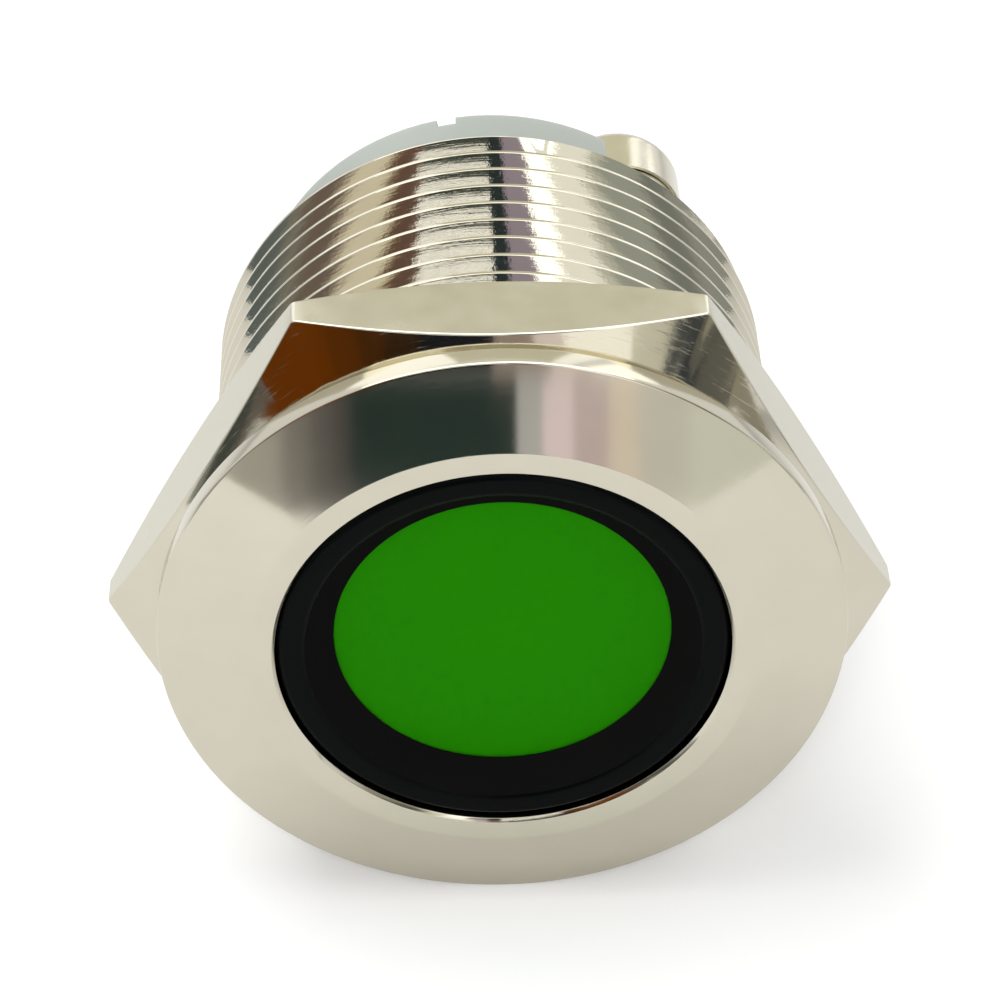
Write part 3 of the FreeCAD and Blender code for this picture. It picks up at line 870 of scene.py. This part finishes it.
@dataclass
class Housing:
    """The conical head and the threaded barrel, turned from one bar. Stations are from the panel seat."""

    face: float = -1.9
    head_rear: float = -0.4
    head_radius: float = 11.0
    cone_drop: float = 0.7
    land_radius: float = 8.1
    pocket_radius: float = 7.25
    pocket_floor: float = 1.7
    web_radius: float = 6.0
    web_rear: float = 2.9
    chamber_radius: float = 8.15
    barrel_end: float = 14.2
    end_chamfer: float = 0.5
    thread_radius: float = 9.45
    runout_start: float = 0.75
    runout_end: float = 1.1
    mouth: float = 0.1
    lead: float = 0.06
    end_gap: float = 0.02
    land_rounding: float = 0.35
    edge_rounding: float = 0.1
    bore_rounding: float = 0.04
    fine_rounding: float = 0.03
    thread_sharp_angle: float = 50.0
    segments: int = 360
    ridge: ThreadRidge = field(default_factory=ThreadRidge)

    def outline(self) -> list[Point]:
        """The section of the head and of the barrel's core, from the pocket's mouth outwards.

        Returns:
            The outline's points, in millimetres.
        """
        core, edge, fine = self.ridge.core_radius, self.edge_rounding, self.fine_rounding
        return rounded([
            Corner(self.pocket_radius + self.mouth, self.face, fine),
            Corner(self.land_radius, self.face, self.land_rounding),
            Corner(self.head_radius, self.face + self.cone_drop, edge),
            Corner(self.head_radius, self.head_rear, edge),
            Corner(self.thread_radius, self.head_rear),
            Corner(self.thread_radius, self.runout_start, edge),
            Corner(core, self.runout_end, edge),
            Corner(core, self.barrel_end - self.lead, fine),
            Corner(core - self.lead, self.barrel_end, fine),
            Corner(self.chamber_radius, self.barrel_end, self.bore_rounding),
            Corner(self.chamber_radius, self.web_rear),
            Corner(self.web_radius, self.web_rear),
            Corner(self.web_radius, self.pocket_floor),
            Corner(self.pocket_radius, self.pocket_floor),
            Corner(self.pocket_radius, self.face + self.mouth, fine),
        ], closed=True, steps=5)

    def trim(self, thread: Mesh) -> None:
        """Cut the ridge back to the chamfer at the barrel's end.

        Args:
            thread: the ridge's mesh.
        """
        start = self.barrel_end - self.end_chamfer
        for vertex in thread.vertices:
            across, along, up = (part / MM for part in vertex.co)
            along = min(along, self.barrel_end - self.end_gap)
            radius = math.hypot(across, up)
            limit = self.thread_radius - max(0.0, along - start)
            share = min(1.0, limit / radius)
            vertex.co = Vector((across * share, along, up * share)) * MM
        with editing(thread) as work:
            bmesh.ops.dissolve_degenerate(work, edges=work.edges, dist=MERGE_GAP)

    def build(self) -> None:
        """Make the housing with its thread and put it in place of the plain one."""
        head, barrel = TURNED_HEAD.build(), THREADED_BARREL.build()
        outline = self.outline()

        def zone(row: int) -> int:
            """The barrel's finish from the head's rear on, outside only."""
            radius, station = outline[row]
            return int(station > self.head_rear - MARGIN and radius > self.chamber_radius + MARGIN)

        mesh = turned_mesh("housing_turned", outline, True, self.segments, zone)
        crease(mesh)
        thread = self.ridge.build(barrel)
        self.trim(thread.data)
        crease(thread.data, self.thread_sharp_angle)
        with editing(mesh) as work:
            work.from_mesh(thread.data)
        bpy.data.objects.remove(thread)
        body = even_shading(new_piece("housing_turned", mesh, (head, barrel)))
        settle(body, Body.HOUSING, "turned_nickel", "housing")


@dataclass
class MountingNut:
    """The hexagon nut, chamfered on both faces, in millimetres."""

    front: float = 0.05
    thickness: float = 3.2
    half_flats: float = 11.0
    face_radius: float = 10.6
    chamfer_angle: float = 28.0
    bore_radius: float = 9.5
    mouth: float = 0.4
    corner_rounding: float = 0.18
    edge_rounding: float = 0.1
    face_rounding: float = 0.06
    mouth_rounding: float = 0.04
    sharp_angle: float = 40.0
    sides: int = 6
    side_steps: int = 28
    corner_steps: int = 6
    arc_steps: int = 4

    def hexagon(self) -> list[Vector]:
        """The nut's plan, with its corners rounded, as (x, z) points.

        Returns:
            The plan's points, in millimetres.
        """
        points: list[Vector] = []
        half = 180.0 / self.sides
        centre_reach = (self.half_flats - self.corner_rounding) / math.cos(math.radians(half))
        arcs = []
        for corner in range(self.sides):
            middle = math.radians(2.0 * half * corner)
            turns = [middle + math.radians(-half + 2.0 * half * step / self.corner_steps)
                     for step in range(self.corner_steps + 1)]
            centre = direction(middle) * centre_reach
            arcs.append([centre + direction(turn) * self.corner_rounding for turn in turns])
        for first, last in zip(arcs, arcs[1:] + arcs[:1]):
            points.extend(first)
            for step in range(1, self.side_steps):
                points.append(first[-1].lerp(last[0], step / self.side_steps))
        return points

    def section(self, reach: float) -> list[Point]:
        """The nut's section along one direction, out to a reach.

        Args:
            reach: how far the plan reaches there.

        Returns:
            The section's (radius, station) points, in millimetres.
        """
        rear = self.front + self.thickness
        fall = (reach - self.face_radius) * math.tan(math.radians(self.chamfer_angle))
        inner = self.bore_radius + self.mouth
        return rounded([
            Corner(self.bore_radius, self.front + self.mouth),
            Corner(inner, self.front, self.mouth_rounding),
            Corner(self.face_radius, self.front, self.face_rounding),
            Corner(reach, self.front + fall, self.edge_rounding),
            Corner(reach, rear - fall, self.edge_rounding),
            Corner(self.face_radius, rear, self.face_rounding),
            Corner(inner, rear, self.mouth_rounding),
            Corner(self.bore_radius, rear - self.mouth),
        ], closed=True, steps=self.arc_steps)

    def build(self) -> None:
        """Make the nut and put it in place of the plain one."""
        columns = []
        for spot in self.hexagon():
            spoke = spot.normalized()
            columns.append([Vector((spoke.x * radius, station, spoke.y * radius)) * MM
                            for radius, station in self.section(spot.length)])

        def zone(row: int) -> int:
            """The flats' finish on the sides, which follow the third rounded corner."""
            return int(row == 3 * (self.arc_steps + 1))

        mesh = grid_mesh("mounting_nut_chamfered", columns, True, zone)
        nut = new_piece("mounting_nut_chamfered", mesh, (NUT_CHAMFER.build(), NUT_FLAT.build()))
        crease(nut.data, self.sharp_angle)
        even_shading(nut)
        settle(nut, Body.NUT, "nut_nickel", "mounting_nut")


@dataclass
class LensUnit:
    """The black ring, the lens and what is behind it, in millimetres."""

    ring_front: float = -1.75
    ring_radius: float = 7.2
    ring_rear: float = 1.7
    land_radius: float = 6.4
    view_radius: float = 5.34
    lip_rear: float = -0.81
    pocket_radius: float = 6.3
    lens_boss_radius: float = 5.6
    lens_radius: float = 6.25
    seal_thickness: float = 0.3
    lens_rear: float = 0.39
    gasket_inner: float = 9.5
    gasket_outer: float = 10.5
    gasket_thickness: float = 0.4
    dish_rounding: float = 0.3
    shoulder_rounding: float = 0.28
    gasket_rounding: float = 0.1
    boss_rounding: float = 0.06
    edge_rounding: float = 0.05
    lip_rounding: float = 0.03
    dish_margin: float = 0.1
    ring_segments: int = 320

    def build_ring(self) -> None:
        """The black ring, with a round shoulder and a dished lip."""
        outline = rounded([
            Corner(self.land_radius, self.ring_front, self.dish_rounding),
            Corner(self.ring_radius, self.ring_front, self.shoulder_rounding),
            Corner(self.ring_radius, self.ring_rear, self.edge_rounding),
            Corner(self.pocket_radius, self.ring_rear, self.edge_rounding),
            Corner(self.pocket_radius, self.lip_rear),
            Corner(self.view_radius, self.lip_rear, self.lip_rounding),
        ], closed=True, steps=8)
        dish_radius = self.land_radius - self.dish_margin
        dish = [radius < dish_radius and station < self.lip_rear for radius, station in outline]
        ring = turned_piece("black_ring", outline, True, (BLACK_RING.build(), BLACK_DISH.build()),
                            self.ring_segments, lambda row: int(dish[row]))
        settle(ring, Body.HOUSING, "black_ring", "bezel")

    def build_lens(self) -> None:
        """The green lens, with its boss."""
        step = self.lip_rear + self.seal_thickness
        outline = rounded([
            Corner(0.0, self.lip_rear),
            Corner(self.lens_boss_radius, self.lip_rear, self.boss_rounding),
            Corner(self.lens_boss_radius, step),
            Corner(self.lens_radius, step, self.edge_rounding),
            Corner(self.lens_radius, self.lens_rear, self.edge_rounding),
            Corner(0.0, self.lens_rear),
        ], closed=False)
        lens = turned_piece("green_lens", outline, False, (GREEN_LENS.build(),))
        settle(lens, Body.HOUSING, "green_lens", "lens")

    def build_gasket(self) -> None:
        """The rubber ring under the head."""
        outline = rounded([
            Corner(self.gasket_inner, -self.gasket_thickness, self.boss_rounding),
            Corner(self.gasket_outer, -self.gasket_thickness, self.gasket_rounding),
            Corner(self.gasket_outer, 0.0, self.gasket_rounding),
            Corner(self.gasket_inner, 0.0, self.boss_rounding),
        ], closed=True)
        ring = turned_piece("gasket_ring", outline, True, (GASKET.build(),))
        settle(ring, Body.HOUSING, "gasket_rubber", "panel_gasket")

    def build(self) -> None:
        """Make every piece of the front."""
        self.build_ring()
        self.build_lens()
        self.build_gasket()
        dress("lens_seal", CLEAR_SEAL.build())
        dress("reflector", REFLECTOR.build())


@dataclass
class RearBase:
    """The moulded base and the terminals on it."""

    edge: float = 0.06
    screw_edge: float = 0.05
    screw_rim: float = 0.5

    def build(self) -> None:
        """Make the base, the plates, the washers and the screws."""
        base = softened_copy("moulded_base", "terminal_base", PALE_BASE.build(), self.edge, steps=3)
        settle(base, Body.HOUSING, "pale_base", "terminal_base")
        plate_metal, screw_metal = TERMINAL_PLATE.build(), SCREW.build()
        brass, tinned = BRASS.build(), TINNED.build()
        for number in (1, 2):
            for piece, node, metal, body, slot, edge, rim in (
                    ("wire_plate", "terminal_plate", plate_metal, Body.HOUSING, "terminal_nickel",
                     self.edge, 0.0),
                    ("round_washer", "clamp_washer", plate_metal, Body(f"washer_{number}"), "terminal_nickel",
                     self.edge, 0.0),
                    ("pan_head_screw", "terminal_screw", screw_metal, Body(f"screw_{number}"), "screw_nickel",
                     self.screw_edge, self.screw_rim)):
                copy = softened_copy(f"{piece}_{number}", f"{node}_{number}", metal, edge, rim=rim)
                settle(copy, body, slot, f"{node}_{number}")
            dress(f"terminal_insert_{number}", brass)
            dress(f"terminal_pin_{number}", tinned)
        dress("base_seal", GASKET.build())


@dataclass
class Electronics:
    """The boards inside the barrel and what they carry."""

    chips: int = 3

    def build(self) -> None:
        """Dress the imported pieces."""
        dress("led_board", WHITE_BOARD.build())
        dress("driver_board", GREEN_BOARD.build())
        chip, wire, black = CHIP.build(), TINNED.build(), COMPONENT.build()
        for number in range(1, self.chips + 1):
            dress(f"led_chip_{number}", chip)
        for number in (1, 2):
            dress(f"header_pin_{number}", wire)
            dress(f"series_resistor_{number}", black)
        dress("rectifier", black)
        dress("capacitor", CAN.build())


# ---- studio


@dataclass(frozen=True)
class Card:
    """A plain card around the light that only shows in its metal.

    Degrees count from straight ahead of the lens towards the right, glow is the card's brightness, and
    slats is how many dark slats lie across it.
    """

    band: Band
    start: float
    stop: float
    colour: Colour
    glow: float = 1.0
    slats: int = 0


def run(band: Band, start: float, *steps: tuple) -> list[Card]:
    """Put cards of one band side by side.

    Args:
        band: their heights.
        start: where the first one starts, in degrees.
        steps: where each card stops, its colour, and its glow and slats where it has them.

    Returns:
        The cards, each from where the last one stops.
    """
    cards = []
    for stop, *look in steps:
        cards.append(Card(band, start, stop, *look))
        start = stop
    return cards


# Plain colours, from left to right, for what each part of the metal mirrors. They started from colours read
# off the photo's metal, divided by the metal's own, and were then adjusted against renders.
CARDS = (
    *run(Band.CONE, -46.0,
         (-37.0, (0.66, 0.65, 0.60)), (-29.0, (0.50, 0.49, 0.46)), (-25.0, (0.26, 0.245, 0.24)),
         (-22.0, (0.155, 0.145, 0.14)), (-19.6, (0.10, 0.094, 0.098)), (3.2, (0.024, 0.046, 0.042)),
         (6.8, (0.60, 0.61, 0.65)), (11.0, (1.0, 0.86, 0.95)), (15.9, (0.72, 0.60, 0.64)),
         (20.1, (0.95, 0.84, 0.75)), (27.0, (0.77, 0.77, 0.73)), (46.0, (0.86, 0.88, 0.82))),
    *run(Band.NUT_EDGE, -60.0,
         (-56.0, (0.29, 0.31, 0.29)), (-49.0, (0.075, 0.085, 0.08)), (-44.0, (0.165, 0.144, 0.127)),
         (-31.0, (0.17, 0.042, 0.002)), (-26.0, (0.12, 0.034, 0.003)), (-21.0, (0.075, 0.026, 0.005)),
         (-15.0, (0.04, 0.019, 0.007)), (0.0, (0.012, 0.014, 0.018)), (8.0, (0.40, 0.32, 0.30)),
         (14.0, (0.95, 0.84, 0.83)), (27.0, (1.0, 0.985, 0.95), 1.4), (33.0, (0.80, 0.79, 0.68)),
         (38.5, (0.055, 0.063, 0.072)), (43.5, (0.15, 0.15, 0.135)), (52.0, (0.36, 0.34, 0.27))),
    *run(Band.THREAD, -92.0,
         (-76.5, (0.42, 0.45, 0.47)), (-66.0, (0.15, 0.18, 0.19)), (-62.0, (0.27, 0.26, 0.22)),
         (-53.0, (0.20, 0.155, 0.135)), (-50.5, (0.50, 0.44, 0.36)), (-38.5, (0.88, 0.82, 0.66)),
         (-36.5, (0.45, 0.36, 0.25)), (-26.9, (0.17, 0.10, 0.075))),
    *run(Band.STREAKS, -26.9, (3.3, (1.0, 1.0, 1.0), 1.8, 6)),
    *run(Band.LID, -26.9, (3.3, (0.05, 0.065, 0.055))),
    *run(Band.THREAD, 3.3,
         (9.9, (0.03, 0.045, 0.05)), (20.5, (0.40, 0.34, 0.43)), (29.5, (1.0, 1.0, 1.0), 2.2),
         (42.5, (1.0, 1.0, 0.96), 1.2), (47.0, (0.70, 0.71, 0.64)), (59.7, (0.44, 0.47, 0.44)),
         (67.5, (0.26, 0.28, 0.27)), (92.0, (0.38, 0.40, 0.38))),
    *run(Band.BEHIND, 140.0, (153.0, (1.0, 1.0, 0.98), 1.8)),
    *run(Band.BEHIND, 157.0,
         (163.0, (1.0, 1.0, 0.98), 1.5), (192.0, (0.76, 0.73, 0.58)), (217.0, (1.0, 1.0, 0.98), 1.6)),
)


# How far above and below the line that the thread mirrors a band reaches, in degrees.
THREAD_LIFTS = {Band.THREAD: (-12.0, 16.0), Band.STREAKS: (-12.0, 2.0), Band.LID: (2.0, 32.0)}


@dataclass
class Studio:
    """The floor, the lamps, the surround and the camera, in millimetres."""

    floor_height: float = -11.0
    floor_size: float = 3000.0
    cone_radius: float = 48.0
    near_radius: float = 62.0
    far_radius: float = 200.0
    joint_height: float = 8.0
    cone_reach: float = 46.0
    cone_flare_start: float = 28.0
    cone_flare: float = 0.55
    behind_heights: Point = (14.0, 66.0)
    edge_curve: Three = (50.0, 0.0045, 0.0000015)
    thread_curve: Three = (47.0, 0.004, 0.00000091)
    thread_place: Point = (8.0, 8.0)
    least_rise: float = -20.0
    overlap: float = 0.1
    card_steps: int = 8
    slat_share: float = 0.65
    slat_colour: Colour = (0.10, 0.115, 0.085)
    overhead_height: float = 150.0
    overhead_corners: tuple[Point, ...] = ((-110.0, -60.0), (110.0, -60.0), (110.0, 100.0), (-110.0, 100.0))
    card_white: Colour = (1.0, 1.0, 0.98)
    floor_colour: Colour = (0.93, 0.93, 0.93)
    key_place: Three = (-70.0, 30.0, 220.0)
    key_size: float = 160.0
    fill_place: Three = (-5.0, -150.0, 125.0)
    fill_size: float = 60.0
    camera_place: Three = (-2.534, -80.475, 69.536)
    camera_target: Three = (-0.12, -1.9, 6.33)
    focal_length: float = 119.2
    world_level: float = 0.58
    mirrored_level: float = 0.95
    key_power: float = 0.25
    fill_power: float = 0.13
    floor_glow: float = 0.15
    overhead_glow: float = 2.5

    def flat_mesh(self, name: str, corners: Sequence[Point], height: float) -> Mesh:
        """A level sheet with four corners, in millimetres.

        Args:
            name: the mesh's name.
            corners: its four corners.
            height: how high it lies.

        Returns:
            The mesh.
        """
        mesh = bpy.data.meshes.new(name)
        mesh.from_pydata([(across * MM, along * MM, height * MM) for across, along in corners], [], [(0, 1, 2, 3)])
        return mesh

    def build_floor(self) -> None:
        """A plain white floor that shows the shadow."""
        half = self.floor_size / 2.0
        corners = ((-half, -half), (half, -half), (half, half), (-half, half))
        mesh = self.flat_mesh("floor", corners, self.floor_height)
        material = bpy.data.materials.new("floor_paper")
        material.use_nodes = True
        wiring = Wiring(material.node_tree)
        camera_ray = wiring.node("ShaderNodeLightPath").outputs["Is Camera Ray"]
        wiring.fill(material.node_tree.nodes["Principled BSDF"], Base_Color=(*self.floor_colour, 1.0),
                    Roughness=0.9, Specular_IOR_Level=0.0, Emission_Color=(1.0, 1.0, 1.0, 1.0),
                    Emission_Strength=wiring.math("MULTIPLY", camera_ray, self.floor_glow))
        new_piece("floor", mesh, (material,))

    def arch(self, curve: Three, degrees: float) -> float:
        """A height that falls with the second and fourth power of the direction."""
        top, square, fourth = curve
        return top - square * degrees ** 2 - fourth * degrees ** 4

    def edge_height(self, degrees: float) -> float:
        """The height on the near cards up to which the nut's edge mirrors them."""
        return max(self.arch(self.edge_curve, degrees), self.floor_height + self.overlap)

    def thread_height(self, degrees: float, lift: float) -> float:
        """The height on the far cards that the thread mirrors, moved by a lift in degrees.

        Args:
            degrees: the direction.
            lift: how far above that line, in degrees.

        Returns:
            The height, in millimetres.
        """
        rise = max(self.arch(self.thread_curve, degrees) + lift, self.least_rise)
        station, top = self.thread_place
        return max(top + (self.far_radius + station) * math.tan(math.radians(rise)), self.floor_height)

    def heights(self, band: Band, degrees: float) -> Point:
        """The lower and upper height of a band at one direction.

        Args:
            band: the band.
            degrees: the direction.

        Returns:
            The two heights, in millimetres.
        """
        away = abs(degrees)
        if band is Band.CONE:
            flare = max(0.0, away - self.cone_flare_start) * self.cone_flare
            return self.floor_height + flare, self.joint_height
        if band is Band.NUT_EDGE:
            low = self.joint_height if away < self.cone_reach else self.floor_height
            return low, self.edge_height(degrees)
        if band is Band.BEHIND:
            return self.behind_heights
        low, high = THREAD_LIFTS[band]
        return self.thread_height(degrees, low), self.thread_height(degrees, high) + self.overlap

    def build_card(self, number: int, card: Card) -> None:
        """One card of the surround, seen by mirrored rays alone.

        Args:
            number: the card's place in CARDS.
            card: the card.
        """
        radius = {Band.CONE: self.cone_radius, Band.NUT_EDGE: self.near_radius,
                  Band.BEHIND: self.near_radius}.get(card.band, self.far_radius) * MM
        cuts = [0.0] if card.slats else [0.0, 1.0]
        for slat in range(card.slats):
            cuts.extend(((slat + self.slat_share) / card.slats, (slat + 1.0) / card.slats))
        points, steps = [], self.card_steps
        for step in range(steps + 1):
            degrees = card.start + (card.stop - card.start) * step / steps
            low, high = self.heights(card.band, degrees)
            angle = math.radians(degrees)
            for cut in cuts:
                height = (low + (high - low) * cut) * MM
                points.append((radius * math.sin(angle), -radius * math.cos(angle), height))
        for shade, (colour, glow) in enumerate(((card.colour, card.glow), (self.slat_colour, 1.0))):
            faces = []
            for step in range(steps):
                for row in range(shade, len(cuts) - 1, 2):
                    first = step * len(cuts) + row
                    faces.append((first, first + 1, first + 1 + len(cuts), first + len(cuts)))
            if faces:
                mesh = bpy.data.meshes.new(f"card_{number}_{shade}")
                mesh.from_pydata(points, [], faces)
                self.stage_card(f"card_{number}_{shade}", mesh, colour, glow)

    def stage_card(self, name: str, mesh: Mesh, colour: Colour, brightness: float) -> None:
        """Put a card into the studio that only mirrored rays see.

        Args:
            name: the card's name.
            mesh: its mesh.
            colour: its colour.
            brightness: how bright it is.
        """
        material = bpy.data.materials.new(name)
        material.use_nodes = True
        material.node_tree.nodes.clear()
        wiring = Wiring(material.node_tree)
        glow = wiring.node("ShaderNodeEmission", Color=(*colour, 1.0), Strength=brightness)
        wiring.node("ShaderNodeOutputMaterial", Surface=glow.outputs[0])
        piece = new_piece(name, mesh, (material,))
        for ray in ("camera", "diffuse", "shadow", "transmission"):
            setattr(piece, f"visible_{ray}", False)

    def build_overhead(self) -> None:
        """One broad bright card above, for the thin lights along rounded edges."""
        mesh = self.flat_mesh("card_overhead", self.overhead_corners, self.overhead_height)
        self.stage_card("card_overhead", mesh, self.card_white, self.overhead_glow)

    def build_world(self) -> None:
        """A white world: plain for what the camera sees, softer as light."""
        world = bpy.data.worlds.new("studio")
        bpy.context.scene.world = world
        world.use_nodes = True
        world.node_tree.nodes.clear()
        wiring = Wiring(world.node_tree)
        path = wiring.node("ShaderNodeLightPath")
        mirrored = wiring.span(path.outputs["Is Glossy Ray"], self.world_level, self.mirrored_level)
        back = wiring.node("ShaderNodeBackground", Color=(1.0, 1.0, 1.0, 1.0),
                           Strength=wiring.math("MAXIMUM", mirrored, path.outputs["Is Camera Ray"]))
        wiring.node("ShaderNodeOutputWorld", Surface=back.outputs[0])

    def aim(self, item: Piece, place: Three, target: Three) -> Piece:
        """Set a lamp or the camera down at a place and turn it to a target, both in millimetres.

        Args:
            item: the lamp or the camera.
            place: where it stands.
            target: what it faces.

        Returns:
            The same object.
        """
        item.location = Vector(place) * MM
        item.rotation_mode = "QUATERNION"
        item.rotation_quaternion = (Vector(target) * MM - item.location).to_track_quat("-Z", "Y")
        return item

    def build_lamp(self, name: str, place: Three, size: float, power: float) -> None:
        """One broad round lamp that faces the light; its size and place are in millimetres.

        Args:
            name: the lamp's name.
            place: where it stands.
            size: how wide it is.
            power: its power, in watts.
        """
        data = bpy.data.lights.new(name, "AREA")
        data.shape = "DISK"
        data.size = size * MM
        data.energy = power
        self.aim(new_object(name, data), place, (0.0, 0.0, 0.0)).visible_glossy = False

    def build_camera(self) -> None:
        """The camera, where the photograph was taken from."""
        data = bpy.data.cameras.new("camera")
        data.lens = self.focal_length
        data.sensor_width = 36.0
        data.sensor_fit = "HORIZONTAL"
        data.clip_start = 0.002
        data.clip_end = 20.0
        camera = self.aim(new_object("camera", data), self.camera_place, self.camera_target)
        bpy.context.scene.camera = camera

    def build(self) -> None:
        """Set up the whole studio."""
        bpy.context.scene.view_settings.view_transform = "Standard"
        self.build_floor()
        for number, card in enumerate(CARDS, start=1):
            self.build_card(number, card)
        self.build_overhead()
        self.build_world()
        self.build_lamp("key", self.key_place, self.key_size, self.key_power)
        self.build_lamp("fill", self.fill_place, self.fill_size, self.fill_power)
        self.build_camera()


def main() -> None:
    """Build the light, its studio and the camera."""
    for part in (Housing(), MountingNut(), LensUnit(), RearBase(), Electronics()):
        part.build()
        LOG.info("%s is done", type(part).__name__)
    Studio().build()


if __name__ == "__main__":
    main()
